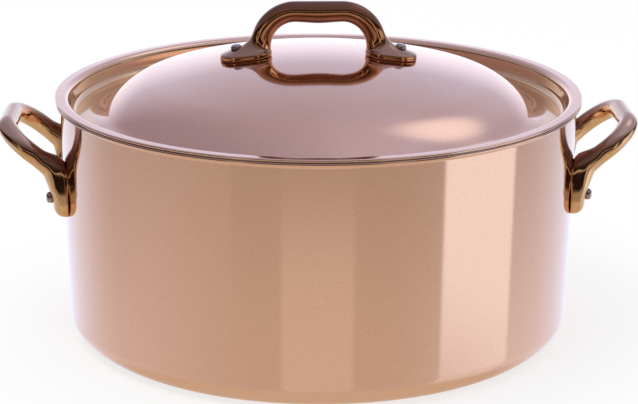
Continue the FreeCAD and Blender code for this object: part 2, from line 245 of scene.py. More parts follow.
TABLE_BEHIND = (0.95, 1.05, 1.3)
TABLE_NEAR = (0.66, 0.55, 0.42)
TABLE_ACROSS = (-60, 60)
TABLE_ASIDE = (25, 110)
TABLE_BACKWARD = (96, 167)
TABLE_BACK_LOSS = 0.35
TABLE_BACK_DROPS = (0.34, 0.42)
TABLE_LEAST_SHADE = 0.74
TABLE_SHADE_GAIN = 0.39
TABLE_SHADE_DROPS = (0.24, 0.41)
TABLE_NEAR_DROPS = (0.5, 0.75)
HORIZON = (-0.16, -0.07)
ROOM_LOW = (0.02, 0.01, 0.01)
ROOM_HIGH = (0.32, 0.25, 0.26)
ROOM_HEIGHTS = (0.2, 0.75)
CEILING_TONES = [(0.05, (0.36, 0.31, 0.37)), (0.25, (0.39, 0.35, 0.42)), (0.5, (0.495, 0.465, 0.55)),
                 (0.6, (0.56, 0.53, 0.635)), (0.75, (0.575, 0.55, 0.66)), (0.93, (0.47, 0.45, 0.54))]
CEILING_LEAN = 0.5
CEILING_HEIGHTS = (0.22, 0.48)
CEILING_LEAST_HEIGHTS = (-0.15, 0.02)
WINDOW_TONE = (1.06, 1.04, 1.04)
WINDOW_DIRECTION = Vector((0.53, 0.335, 0.78)).normalized()
WINDOW_SPREAD = (0.925, 1.0)
BACKDROP_TONES = [(0.03, (1.12, 1.18, 1.3)), (0.18, (0.96, 1.0, 1.22)), (0.34, (0.63, 0.65, 0.83)),
                  (0.65, (0.50, 0.48, 0.58))]
BACKDROP_BEHIND = (0.68, 1.0)
BACKDROP_FOOT = (-0.22, -0.1)
BACKDROP_HEAD = (0.35, 0.9)
FLAT_LEAST = 0.0001
WHITE = (1.0, 1.0, 1.0)
PLAIN_LIGHT = (0.9, 0.9, 0.9)
FLOOR_TONES = ((0.92, 0.92, 0.92), (0.94, 0.94, 0.94))
FLOOR_HALF = 3.0
FLOOR_GLOW = 1.03
FLOOR_GLOW_SHARE = 0.7

# Camera, found from the outline in the photograph
CAMERA_AZIMUTH = -2.0       # degrees
CAMERA_ELEVATION = 16.91    # degrees
CAMERA_DISTANCE = 1.1676
CAMERA_TARGET = (0.0005, 0.0, 0.06906)
CAMERA_ROLL = 0.2           # degrees
IMAGE_WIDTH = 638
FOCAL_PIXELS = 2080.66
SENSOR_WIDTH = 36.0


# Node trees


class Wire:
    """A socket whose sums, products and powers add Math nodes to its tree."""

    def __init__(self, board, socket):
        self.board = board
        self.socket = socket

    def _math(self, operation, first, second):
        return self.board.add("ShaderNodeMath", {"operation": operation}, {0: first, 1: second})

    def __add__(self, other):
        return self._math("ADD", self, other)

    def __radd__(self, other):
        return self._math("ADD", other, self)

    def __sub__(self, other):
        return self._math("SUBTRACT", self, other)

    def __rsub__(self, other):
        return self._math("SUBTRACT", other, self)

    def __mul__(self, other):
        return self._math("MULTIPLY", self, other)

    def __rmul__(self, other):
        return self._math("MULTIPLY", other, self)

    def __truediv__(self, other):
        return self._math("DIVIDE", self, other)

    def __rtruediv__(self, other):
        return self._math("DIVIDE", other, self)

    def __pow__(self, other):
        return self._math("POWER", self, other)


class Board:
    """A node tree that takes each node by type, settings and socket values."""

    def __init__(self, tree):
        self.tree = tree

    def add(self, kind, settings=None, inputs=None, output=0):
        """Add one node and give back one of its outputs."""
        node = self.tree.nodes.new(kind)
        for name, value in (settings or {}).items():
            if name == "stops":
                self._set_stops(node.color_ramp, value)
            else:
                setattr(node, name, value)
        for name, value in (inputs or {}).items():
            if isinstance(value, Wire):
                self.tree.links.new(value.socket, node.inputs[name])
            else:
                node.inputs[name].default_value = value
        return Wire(self, node.outputs[output]) if node.outputs else None

    @staticmethod
    def _set_stops(ramp, stops):
        while len(ramp.elements) < len(stops):
            ramp.elements.new(1.0)
        for element, (place, colour) in zip(ramp.elements, stops):
            element.position = place
            element.color = (*colour, 1.0)

    def parts(self, vector):
        """The X, Y and Z of a vector."""
        return [self.add("ShaderNodeSeparateXYZ", None, {0: vector}, index) for index in range(3)]

    def mix(self, factor, first, second):
        """A tone between two tones, each a wire or red, green and blue."""
        inputs = {0: factor, 6: as_colour(first), 7: as_colour(second)}
        return self.add("ShaderNodeMix", {"data_type": "RGBA"}, inputs, 2)

    def smooth(self, value, low, high):
        """0 below low, 1 above high and a soft step between."""
        settings = {"interpolation_type": "SMOOTHSTEP"}
        return self.add("ShaderNodeMapRange", settings, {0: value, 1: low, 2: high})

    def noise(self, place, scale, detail=4.0, roughness=0.5):
        """Cloudy noise from 0 to 1."""
        inputs = {"Vector": place, "Scale": scale, "Detail": detail, "Roughness": roughness}
        return self.add("ShaderNodeTexNoise", None, inputs)

    def bump(self, height, strength, distance):
        """A normal that leans with the slope of a height."""
        inputs = {"Height": height, "Strength": strength, "Distance": distance}
        return self.add("ShaderNodeBump", None, inputs)


def as_colour(tone):
    """A tone that a colour socket takes."""
    return tone if isinstance(tone, Wire) else (*tone, 1.0)


def flat_length(x, y):
    """Length of a flat vector."""
    return (x * x + y * y) ** 0.5


# Finishes


def new_material(name):
    """An empty material and its board."""
    material = bpy.data.materials.new(name)
    material.use_nodes = True
    material.node_tree.nodes.clear()
    return material, Board(material.node_tree)


def metal(board, colour, roughness, normal):
    """The closing shader of every metal."""
    inputs = {"Base Color": colour, "Metallic": 1.0, "Roughness": roughness, "Normal": normal}
    shader = board.add("ShaderNodeBsdfPrincipled", None, inputs)
    board.add("ShaderNodeOutputMaterial", None, {"Surface": shader})


def object_place(board):
    """Where a spot lies on its piece."""
    return board.add("ShaderNodeTexCoord", None, None, "Object")


def turned_place(board, place, angle_scale):
    """Coordinates in which rings about the axis are long and thin."""
    x, y, height = board.parts(place)
    angle = board.add("ShaderNodeMath", {"operation": "ARCTAN2"}, {0: y, 1: x})
    inputs = {0: angle * angle_scale, 1: flat_length(x, y), 2: height}
    return board.add("ShaderNodeCombineXYZ", None, inputs)


def polished_copper(name, bright, deep, outer):
    """Mirror-polished copper with clouds, satin grain, polishing rings and painted shade in the seam
    under the flange.

    The outer tone is that of the pot's wall, or for the lid a painted reflection tone in its gutter and
    drop wall.
    """
    material, board = new_material(name)
    place = object_place(board)
    x, y, height = board.parts(place)
    radius = flat_length(x, y)
    clouds = board.noise(place, scale=14.0, detail=5.0, roughness=0.55)
    turned = turned_place(board, place, angle_scale=0.004)
    rings = board.noise(turned, scale=2600.0, detail=2.0, roughness=0.6)
    grain = board.noise(place, scale=1500.0, detail=2.0, roughness=0.6)
    satin = board.noise(place, scale=800.0, detail=3.0, roughness=0.7)
    colour = board.mix(board.smooth(clouds, *COPPER_CLOUD_STEP), bright, deep)
    under_flange = 1 - board.smooth(height, *FLANGE_TONE)
    # Painted reflection on the lid: its gutter and drop wall take the warmer gutter tone
    colour = board.mix(board.smooth(radius, *OUTER_TONE) * under_flange, colour, outer)
    # Painted shade in the seam where the lid's flange rests on the pot's lip, which is also rougher
    off_seam = board.add("ShaderNodeMath", {"operation": "ABSOLUTE"}, {0: height - POT_HEIGHT})
    seam = (1 - board.smooth(off_seam, *SEAM_HALF_WIDTH)) * board.smooth(radius, *SEAM_RADIUS)
    colour = board.mix(seam, colour, SEAM_PAINTED_SHADE)
    grained = COPPER_SATIN_SHARE * board.smooth(satin, *COPPER_SATIN_STEP)
    colour = board.mix(grained, colour, SATIN_BROWN)
    roughness = COPPER_ROUGHNESS + COPPER_CLOUD_ROUGHNESS * clouds + COPPER_RING_ROUGHNESS * rings
    roughness = roughness + COPPER_SATIN_ROUGHNESS * satin + SEAM_ROUGHNESS * seam
    relief = rings * COPPER_RING_RELIEF + grain * COPPER_GRAIN_RELIEF
    normal = board.bump(relief, strength=0.02, distance=0.3 * MM)
    metal(board, colour, roughness, normal)
    return material


def brushed_steel(name):
    """Steel lining with turned brushing."""
    material, board = new_material(name)
    place = object_place(board)
    turned = turned_place(board, place, angle_scale=0.01)
    rings = board.noise(turned, scale=1800.0, detail=3.0, roughness=0.6)
    clouds = board.noise(place, scale=20.0)
    colour = board.mix(rings, LINING_DARK, LINING_PALE)
    roughness = LINING_ROUGHNESS + LINING_RING_ROUGHNESS * rings + LINING_CLOUD_ROUGHNESS * clouds
    normal = board.bump(rings, strength=0.12, distance=0.3 * MM)
    metal(board, colour, roughness, normal)
    return material


def cast_bronze(name, bright, deep, under, top):
    """Polished castings with painted shade on their undersides, dark brown on upward faces near the pot's
    axis and a painted sheen on top of the outer grips.
    """
    material, board = new_material(name)
    place = object_place(board)
    x, y, height = board.parts(place)
    clouds = board.noise(place, scale=60.0, detail=5.0, roughness=0.6)
    swell = board.noise(place, scale=45.0, detail=1.0)
    grain = board.noise(place, scale=1400.0, detail=2.0)
    facing = board.add("ShaderNodeTexCoord", None, None, "Normal")
    upward = board.add("ShaderNodeSeparateXYZ", None, {0: facing}, "Z")
    on_top = board.smooth(upward + BRONZE_TOP_UNEVENNESS * clouds, *BRONZE_TOP_STEP)
    # Painted shade: downward faces take the underside tone
    below = board.smooth(0 - upward, *BRONZE_UNDERSIDE_SHADE_STEP)
    # Painted sheen: the tops of the outer grips are paler and less rough
    outer_sheen = board.smooth(flat_length(x, y), *SHEEN_RADIUS)
    colour = board.mix(board.smooth(clouds, *BRONZE_CLOUD_STEP), bright, deep)
    colour = board.mix(below, colour, under)
    # Upward faces are darker brown near the pot's axis and darkest on the lid's grip
    top_brown = board.mix(board.smooth(height, *GRIP_TOP_HEIGHT), top, BRIDGE_GRIP_TOP)
    colour = board.mix(on_top, colour, board.mix(outer_sheen, top_brown, BRONZE_PAINTED_SHEEN))
    roughness = BRONZE_ROUGHNESS + BRONZE_CLOUD_ROUGHNESS * clouds
    roughness = roughness + TOP_BROWN_ROUGHNESS * on_top * (1 - outer_sheen)
    normal = board.bump(swell + grain * BRONZE_GRAIN_RELIEF, strength=0.06, distance=0.8 * MM)
    metal(board, colour, roughness, normal)
    return material


def rivet_steel(name):
    """Dark steel with a hammered, rubbed face."""
    material, board = new_material(name)
    place = object_place(board)
    dents = board.noise(place, scale=420.0, detail=3.0)
    clouds = board.noise(place, scale=160.0, detail=4.0)
    colour = board.mix(clouds, RIVET_DARK, RIVET_PALE)
    roughness = RIVET_ROUGHNESS + RIVET_CLOUD_ROUGHNESS * clouds
    normal = board.bump(dents, strength=0.25, distance=0.4 * MM)
    metal(board, colour, roughness, normal)
    return material


BODY_COPPER = polished_copper("body_copper", BODY_BRIGHT, BODY_DEEP, BODY_WALL)
LID_COPPER_FINISH = polished_copper("lid_copper", LID_BRIGHT, LID_DEEP, LID_GUTTER_PAINTED_REFLECTION)
LINING_STEEL = brushed_steel("lining_steel")
BRONZE = cast_bronze("bronze", BRONZE_BRIGHT, BRONZE_DEEP, BRONZE_UNDERSIDE_SHADE, BRONZE_TOP)
BROWN_BRONZE = cast_bronze("brown_bronze", BRIDGE_BRIGHT, BRIDGE_DEEP, BRIDGE_UNDERSIDE_SHADE, BRIDGE_FOOT_TOP)
RIVET_STEEL = rivet_steel("rivet_steel")


# Outlines that round pieces are turned from


class Outline:
    """A run of (radius, height) points made of straight stretches and arcs."""

    def __init__(self):
        self.points = []

    def to(self, radius, height):
        """Go straight to a point, with a point near each end to keep the shading crisp."""
        if self.points:
            start = Vector(self.points[-1])
            span = Vector((radius, height)) - start
            if span.length > 4 * EDGE_SUPPORT:
                inset = span.normalized() * EDGE_SUPPORT
                self.points.append(tuple(start + inset))
                self.points.append((radius - inset[0], height - inset[1]))
        self.points.append((radius, height))

    def arc(self, centre, radius, start, end):
        """Follow an arc between two angles in degrees, coming straight to its start."""
        turn = end - start
        length = radius * math.radians(abs(turn))
        steps = max(2, math.ceil(abs(turn) / ARC_STEP), math.ceil(length / ARC_CHORD))
        for step in range(steps + 1):
            angle = math.radians(start + turn * step / steps)
            spot = (centre[0] + radius * math.cos(angle), centre[1] + radius * math.sin(angle))
            if step == 0:
                self.to(*spot)
            else:
                self.points.append(spot)

    def join(self, other):
        """Go on along another outline, backwards."""
        back = other.points[::-1]
        self.to(*back[0])
        self.points += back[1:]


def wall_radius_at(height):
    """Outer radius of the pot's wall at a height."""
    return WALL_RADIUS - (POT_HEIGHT - height) * math.tan(math.radians(WALL_DRAFT))


def pot_face(depth, reach):
    """The pot's outer face moved inward by a depth, from the axis to the lip."""
    draft = math.radians(WALL_DRAFT)
    corner_height = BASE_CORNER * (1 - math.sin(draft))
    corner = (wall_radius_at(corner_height) - BASE_CORNER * math.cos(draft), BASE_CORNER)
    flare_base = POT_HEIGHT - POT_WALL - LIP_FLARE
    flare_height = flare_base + LIP_FLARE * math.sin(draft)
    flare = (wall_radius_at(flare_height) + LIP_FLARE * math.cos(draft), flare_base)
    outline = Outline()
    outline.to(0, depth)
    outline.arc(corner, BASE_CORNER - depth, -90, -WALL_DRAFT)
    outline.arc(flare, LIP_FLARE + depth, 180 - WALL_DRAFT, 90)
    outline.to(reach, flare_base + LIP_FLARE + depth)
    return outline


def lid_face(depth, reach):
    """The lid's upper face moved down by a depth, from the apex to the flange."""
    shoulder_offset = DROP_RADIUS - GUTTER_WIDTH - SHOULDER_RADIUS
    centres_apart = CROWN_RADIUS - SHOULDER_RADIUS
    crown = (0, APEX - CROWN_RADIUS)
    shoulder = (shoulder_offset, crown[1] + math.sqrt(centres_apart ** 2 - shoulder_offset ** 2))
    fillets_apart = SHOULDER_RADIUS + DOME_FOOT_FILLET
    fillet_height = GUTTER_FLOOR + DOME_FOOT_FILLET
    fillet_drop = fillet_height - shoulder[1]
    fillet = (shoulder[0] + math.sqrt(fillets_apart ** 2 - fillet_drop ** 2), fillet_height)
    gutter = (DROP_RADIUS - GUTTER_FILLET, GUTTER_FLOOR + GUTTER_FILLET)
    flange = (DROP_RADIUS + FLANGE_FILLET, FLANGE_TOP - FLANGE_FILLET)
    crown_end = math.degrees(math.acos(shoulder_offset / centres_apart))
    shoulder_end = math.degrees(math.asin(fillet_drop / fillets_apart))
    outline = Outline()
    outline.arc(crown, CROWN_RADIUS - depth, 90, crown_end)
    outline.arc(shoulder, SHOULDER_RADIUS - depth, crown_end, shoulder_end)
    outline.arc(fillet, DOME_FOOT_FILLET + depth, 180 + shoulder_end, 270)
    outline.arc(gutter, GUTTER_FILLET + depth, 270, 360)
    outline.arc(flange, FLANGE_FILLET - depth, 180, 90)
    outline.to(reach, FLANGE_TOP - depth)
    return outline


def pot_shell_outline():
    """Copper of the pot, with its lip edge rounded below."""
    outline = pot_face(0, LIP_RADIUS - LIP_EDGE_ROUND)
    underside = outline.points[-1][1]
    outline.arc((LIP_RADIUS - LIP_EDGE_ROUND, underside + LIP_EDGE_ROUND), LIP_EDGE_ROUND, -90, 0)
    outline.join(pot_face(POT_COPPER, LIP_RADIUS))
    return outline


def pot_lining_outline():
    """Steel of the pot, with its edge rounded above."""
    edge = POT_STEEL * LINING_EDGE_SHARE
    reach = LIP_RADIUS - LINING_RECESS
    outline = pot_face(POT_COPPER, reach)
    outline.arc((reach - edge, POT_HEIGHT - edge), edge, 0, 90)
    outline.join(pot_face(POT_WALL, reach - edge))
    return outline


def lid_shell_outline():
    """Copper of the lid, with its flange edge rounded above."""
    inner = FLANGE_RADIUS - FLANGE_EDGE_ROUND
    outline = lid_face(0, inner)
    outline.arc((inner, FLANGE_TOP - FLANGE_EDGE_ROUND), FLANGE_EDGE_ROUND, 90, 0)
    outline.join(lid_face(LID_COPPER, FLANGE_RADIUS))
    return outline


def lid_lining_outline():
    """Steel under the lid, with its edge rounded below."""
    edge = LID_STEEL * LINING_EDGE_SHARE
    reach = LIP_RADIUS - LINING_RECESS
    outline = lid_face(LID_COPPER, reach)
    outline.arc((reach - edge, POT_HEIGHT + edge), edge, 0, -90)
    outline.join(lid_face(LID_WALL, reach - edge))
    return outline


def rivet_outline(grip):
    """A rivet along Z: inner head, shank and outer head, which sits at height 0."""
    outline = Outline()
    crown = INNER_HEAD ** 2 / 8 / INNER_HEAD_HEIGHT + INNER_HEAD_HEIGHT / 2
    bottom = -grip - INNER_HEAD_HEIGHT
    spread = math.degrees(math.asin(INNER_HEAD / 2 / crown))
    outline.arc((0, bottom + crown), crown, -90, spread - 90)
    outline.to(SHANK / 2, -grip)
    outline.to(SHANK / 2, 0)
    outline.to(HEAD / 2, 0)
    outline.arc((HEAD / 2 - HEAD_ROUND, HEAD_HEIGHT - HEAD_ROUND), HEAD_ROUND, 0, 90)
    outline.to(0, HEAD_HEIGHT)
    return outline


# Pieces made by rule


def geometry_tree(name, sockets):
    """A geometry tree with named inputs, its board and the wires of its inputs."""
    tree = bpy.data.node_groups.new(name, "GeometryNodeTree")
    tree.interface.new_socket("Geometry", in_out="INPUT", socket_type="NodeSocketGeometry")
    for socket_name, socket_type in sockets:
        tree.interface.new_socket(socket_name, in_out="INPUT", socket_type=socket_type)
    tree.interface.new_socket("Geometry", in_out="OUTPUT", socket_type="NodeSocketGeometry")
    board = Board(tree)
    entry = tree.nodes.new("NodeGroupInput")
    wires = {socket.name: Wire(board, socket) for socket in entry.outputs if socket.name}
    return tree, board, wires


def turned_geometry(board, outline, steps, count):
    """The mesh turned about Z from the points of an outline mesh."""
    grid = board.add("GeometryNodeMeshGrid", None, {"Vertices X": steps + 1, "Vertices Y": count})
    index = board.add("GeometryNodeInputIndex")
    turn = board.add("ShaderNodeMath", {"operation": "FLOOR"}, {0: index / count})
    along = index - turn * count
    position = board.add("GeometryNodeInputPosition")
    settings = {"data_type": "FLOAT_VECTOR", "domain": "POINT"}
    inputs = {"Geometry": outline, "Value": position, "Index": along}
    spot = board.add("GeometryNodeSampleIndex", settings, inputs)
    angle = turn * (2 * math.pi) / steps
    settings = {"rotation_type": "Z_AXIS"}
    place = board.add("ShaderNodeVectorRotate", settings, {"Vector": spot, "Angle": angle})
    shell = board.add("GeometryNodeSetPosition", None, {"Geometry": grid, "Position": place})
    return board.add("GeometryNodeMergeByDistance", None, {"Geometry": shell, "Distance": MERGE_DISTANCE})


def close_geometry(board, geometry, material):
    """Realize, smooth, give the material and end the tree."""
    real = board.add("GeometryNodeRealizeInstances", None, {"Geometry": geometry})
    smooth = board.add("GeometryNodeSetShadeSmooth", None, {"Geometry": real})
    dressed = board.add("GeometryNodeSetMaterial", None, {"Geometry": smooth, "Material": material})
    board.add("NodeGroupOutput", None, {"Geometry": dressed})


def turning_tree():
    """Tree that turns an outline mesh into a closed shell."""
    sockets = [("Steps", "NodeSocketInt"), ("Points", "NodeSocketInt"), ("Finish", "NodeSocketMaterial")]
    tree, board, wires = geometry_tree("turned_shell", sockets)
    shell = turned_geometry(board, wires["Geometry"], wires["Steps"], wires["Points"])
    close_geometry(board, shell, wires["Finish"])
    return tree


def riveting_tree():
    """Tree that turns one rivet and sets a copy at each marked place."""
    sockets = [("Places", "NodeSocketObject"), ("Steps", "NodeSocketInt"),
               ("Points", "NodeSocketInt"), ("Finish", "NodeSocketMaterial")]
    tree, board, wires = geometry_tree("rivet_set", sockets)
    rivet = turned_geometry(board, wires["Geometry"], wires["Steps"], wires["Points"])
    places = board.add("GeometryNodeObjectInfo", None, {"Object": wires["Places"]}, "Geometry")
    aim = board.add("GeometryNodeInputNamedAttribute", {"data_type": "FLOAT_VECTOR"}, {"Name": "aim"})
    turn = board.add("FunctionNodeAlignRotationToVector", {"axis": "Z"}, {"Vector": aim})
    inputs = {"Points": places, "Instance": rivet, "Rotation": turn}
    copies = board.add("GeometryNodeInstanceOnPoints", None, inputs)
    close_geometry(board, copies, wires["Finish"])
    return tree


def point_mesh(name, points):
    """An object that holds only points."""
    mesh = bpy.data.meshes.new(name)
    mesh.from_pydata([tuple(spot) for spot in points], [], [])
    thing = bpy.data.objects.new(name, mesh)
    bpy.context.scene.collection.objects.link(thing)
    return thing


def made_by(tree, name, points, values):
    """The plain mesh object that a tree makes from points, with inputs given by name."""
    source = point_mesh(name + "_outline", points)
    modifier = source.modifiers.new("rule", "NODES")
    modifier.node_group = tree
    for item in tree.interface.items_tree:
        if item.in_out == "INPUT" and item.name in values:
            modifier[item.identifier] = values[item.name]
    graph = bpy.context.evaluated_depsgraph_get()
    mesh = bpy.data.meshes.new_from_object(source.evaluated_get(graph))
    source.modifiers.remove(modifier)
    bpy.data.objects.remove(source)
    mesh.name = name
    return shown(name, mesh)


def shown(name, mesh):
    """A new object at the origin that shows a mesh."""
    thing = bpy.data.objects.new(name, mesh)
    bpy.context.scene.collection.objects.link(thing)
    return thing


TURNING = turning_tree()
RIVETING = riveting_tree()


def turned_piece(name, outline, material):
    """A shell turned from an outline."""
    points = [Vector((radius, 0, height)) for radius, height in outline.points]
    values = {"Steps": TURN_STEPS, "Points": len(points), "Finish": material}
    return made_by(TURNING, name, points, values)


def rivet_piece(name, grip, seats):
    """Rivets at (place, direction) seats, joined in one mesh."""
    outline = rivet_outline(grip)
    points = [Vector((radius, 0, height)) for radius, height in outline.points]
    places = point_mesh(name + "_places", [place for place, aim in seats])
    aims = places.data.attributes.new("aim", "FLOAT_VECTOR", "POINT")
    for entry, (place, aim) in zip(aims.data, seats):
        entry.vector = aim
    values = {"Places": places, "Steps": RIVET_STEPS, "Points": len(points), "Finish": RIVET_STEEL}
    piece = made_by(RIVETING, name, points, values)
    bpy.data.objects.remove(places)
    return piece


# Castings


def ease(value):
    """Soft step from 0 to 1."""
    value = min(1.0, max(0.0, value))
    return value * value * (3 - 2 * value)


def rounded_end(value):
    """Quarter-round rise from 0 to 1."""
    return math.sqrt(max(LEAST, 1 - max(0.0, 1 - value) ** 2))


def rounded_path(corners, radii, spacing):
    """Points along straight runs that are joined by tangent arcs, about evenly spaced."""
    path = [corners[0]]

    def run_to(spot):
        start = path[-1]
        steps = max(1, round((spot - start).length / spacing))
        path.extend(start.lerp(spot, step / steps) for step in range(1, steps + 1))

    for before, corner, after, radius in zip(corners, corners[1:], corners[2:], radii):
        back = (before - corner).normalized()
        ahead = (after - corner).normalized()
        half = back.angle(ahead) / 2
        entry = corner + back * (radius / math.tan(half))
        centre = corner + (back + ahead).normalized() * (radius / math.sin(half))
        run_to(entry)
        turn = math.pi - 2 * half
        axis = back.cross(ahead).normalized()
        steps = max(2, round(radius * turn / spacing))
        for step in range(1, steps + 1):
            path.append(centre + Matrix.Rotation(-turn * step / steps, 3, axis) @ (entry - centre))
    run_to(corners[-1])
    return path


def frames_along(path, side):
    """Tangent, side and face directions at each point, carried along without twist."""
    frames = []
    for index in range(len(path)):
        before = path[max(0, index - 1)]
        after = path[min(len(path) - 1, index + 1)]
        tangent = (after - before).normalized()
        side = (side - tangent * side.dot(tangent)).normalized()
        frames.append((tangent, side, tangent.cross(side)))
    return frames


def section(centre, side, face, half_width, half_thickness, squareness, back_squareness):
    """One closed ring: an oval, squarer as squareness grows past 2; its back may be squarer."""
    ring = []
    for step in range(SECTION_STEPS):
        angle = 2 * math.pi * step / SECTION_STEPS
        power = 2 / (squareness if math.sin(angle) < 0 else back_squareness)
        across = math.copysign(abs(math.cos(angle)) ** power, math.cos(angle))
        out = math.copysign(abs(math.sin(angle)) ** power, math.sin(angle))
        ring.append(centre + side * (half_width * across) + face * (half_thickness * out))
    return ring


def mirrored(rings, axis):
    """Rings on the other side of the plane through the origin across an axis."""
    flip = Vector([-1.0 if index == axis else 1.0 for index in range(3)])
    return [[spot * flip for spot in ring] for ring in rings]


def cast_piece(name, rings, material):
    """A smooth closed mesh over a run of rings, shut at both ends."""
    count = SECTION_STEPS
    points = [spot for ring in rings for spot in ring]
    faces = []
    for row in range(len(rings) - 1):
        for step in range(count):
            after = (step + 1) % count
            low = row * count
            high = low + count
            faces.append((low + step, low + after, high + after, high + step))
    for row, order in ((0, -1), (len(rings) - 1, 1)):
        middle = len(points)
        points.append(sum(rings[row], Vector()) / count)
        for step in range(count):
            pair = (row * count + step, row * count + (step + 1) % count)
            faces.append((middle, *pair[::order]))
    mesh = bpy.data.meshes.new(name)
    mesh.from_pydata([tuple(spot) for spot in points], [], faces)
    mesh.shade_smooth()
    mesh.materials.append(material)
    return shown(name, mesh)


PAD_RADIUS = wall_radius_at(SIDE_ROOT) + PAD_THICKNESS / 2
PAD_AZIMUTH = math.asin(SIDE_SPREAD / 2 / PAD_RADIUS)
PAD_OUT = Vector((math.cos(PAD_AZIMUTH), -math.sin(PAD_AZIMUTH), 0))
PAD_ALONG = Vector((math.sin(PAD_AZIMUTH), math.cos(PAD_AZIMUTH), 0))


def pushed_off_wall(spot):
    """A point moved out of the pot's wall, straight away from the axis."""
    least = wall_radius_at(spot.z) + CONTACT_GAP
    radius = math.hypot(spot.x, spot.y)
    if radius >= least:
        return spot
    return Vector((spot.x * least / radius, spot.y * least / radius, spot.z))


def side_handle_rings():
    """Rings of the right handle, from the tip of its front pad to the tip of its rear pad."""
    pad = PAD_OUT * PAD_RADIUS
    bar_x = pad.x + SIDE_REACH
    bar_height = SIDE_ROOT + SIDE_REACH * math.tan(math.radians(SIDE_SLOPE))
    tip = Vector((pad.x, pad.y, PAD_BOTTOM))
    corners = [tip, Vector((pad.x, pad.y, SIDE_ROOT)), Vector((bar_x, pad.y, bar_height)),
               Vector((bar_x, 0, bar_height))]
    path = rounded_path(corners, [SIDE_BEND, SIDE_CORNER], SIDE_SPACING)
    path[1:1] = [tip + Vector((0, 0, rise)) for rise in TIP_RISES]
    half_bar = SIDE_BAR / 2
    half_pad = PAD_WIDTH / 2
    pad_length = SIDE_ROOT - PAD_BOTTOM
    rings = []
    travelled = 0.0
    for index, (tangent, side, face) in enumerate(frames_along(path, PAD_ALONG)):
        if index:
            travelled += (path[index] - path[index - 1]).length
        leg = ease((travelled / pad_length - LEG_START) / LEG_SPAN)
        along = min(1.0, travelled / pad_length)
        thickness = PAD_TIP_THICKNESS + (PAD_ROOT_THICKNESS - PAD_TIP_THICKNESS) * along ** 2
        thickness *= rounded_end(travelled / PAD_TIP_ROUND)
        flare = ROOT_FLARE * (1 - ease((travelled - pad_length) / ROOT_FLARE_LENGTH))
        half_thickness = thickness / 2 + (half_bar + flare - thickness / 2) * leg
        half_width = half_pad * rounded_end(travelled / half_pad)
        half_width += (half_bar + flare - half_width) * leg
        height = path[index].z
        on_wall = wall_radius_at(height) + half_thickness - PAD_RADIUS
        centre = path[index] + PAD_OUT * (on_wall * (1 - leg)) + face * (flare * ROOT_LIFT * leg)
        squareness = PAD_SQUARENESS + (SIDE_SQUARENESS - PAD_SQUARENESS) * leg
        back = BACK_SQUARENESS + (SIDE_SQUARENESS - BACK_SQUARENESS) * leg
        ring = section(centre, side, face, half_width, half_thickness, squareness, back)
        rings.append([pushed_off_wall(spot) for spot in ring])
    return rings + mirrored(rings[-2::-1], 1)


def dome_height(x, y):
    """Height of the lid's upper face over its middle."""
    return APEX - CROWN_RADIUS + math.sqrt(CROWN_RADIUS ** 2 - x * x - y * y)


def foot_outline(angle):
    """Plan of the right foot in one direction from its leg: a tongue with half-round ends."""
    half_width = FOOT_WIDTH / 2
    leg_x = BRIDGE_SPREAD / 2
    along = math.cos(angle)
    across = math.sin(angle)
    ends = (FOOT_HEEL + half_width, FOOT_TIP - half_width)
    distance = half_width / max(abs(across), LEAST)
    side_x = leg_x + along * distance
    if side_x < ends[0] or side_x > ends[1]:
        end = ends[0] if side_x < ends[0] else ends[1]
        ahead = along * (end - leg_x)
        distance = ahead + math.sqrt(half_width ** 2 - (end - leg_x) ** 2 + ahead ** 2)
    return leg_x + along * distance, across * distance


def foot_rings(first_ring, path_direction):
    """Rings of the right foot, from the dome up to the first ring of its leg."""
    outline = []
    for spot in first_ring:
        angle = math.atan2(spot.y, spot.x - BRIDGE_SPREAD / 2)
        outline.append(foot_outline(angle))
    centre_x = (FOOT_TIP + FOOT_HEEL) / 2
    rings = []

    def ring_at(height, inset):
        ring = []
        for x, y in outline:
            away = Vector((x - centre_x, y, 0)).normalized()
            place_x = x - away.x * inset
            place_y = y - away.y * inset
            ring.append(Vector((place_x, place_y, dome_height(place_x, place_y) + height)))
        return ring

    for step in range(SOLE_STEPS):
        angle = math.radians(90 * step / SOLE_STEPS)
        rise = FOOT_SOLE_ROUND * (1 - math.cos(angle))
        inset = FOOT_SOLE_ROUND * (1 - math.sin(angle))
        rings.append(ring_at(CONTACT_GAP + rise, inset))
    for step in range(BAND_STEPS + 1):
        rings.append(ring_at(FOOT_SOLE_ROUND + (FOOT_BAND - FOOT_SOLE_ROUND) * step / BAND_STEPS, 0))
    for step in range(1, EDGE_STEPS + 1):
        angle = math.radians(EDGE_TURN * step / EDGE_STEPS)
        rise = FOOT_EDGE_ROUND * math.sin(angle)
        inset = FOOT_EDGE_ROUND * (1 - math.cos(angle))
        rings.append(ring_at(FOOT_BAND + rise, inset))
    start_ring = rings[-1]
    for step in range(1, BLEND_STEPS):
        part = step / BLEND_STEPS
        ring = []
        for start, end in zip(start_ring, first_ring):
            flat = Vector((end.x - start.x, end.y - start.y, 0))
            leave = start + flat * FOOT_PULL_IN + Vector((0, 0, FOOT_PULL_UP * flat.length))
            arrive = end - path_direction * max(0.0, (end.z - start.z) * LEG_PULL_DOWN)
            ring.append(start * (1 - part) ** 3 + leave * (3 * part * (1 - part) ** 2)
                        + arrive * (3 * part ** 2 * (1 - part)) + end * part ** 3)
        rings.append(ring)
    return rings


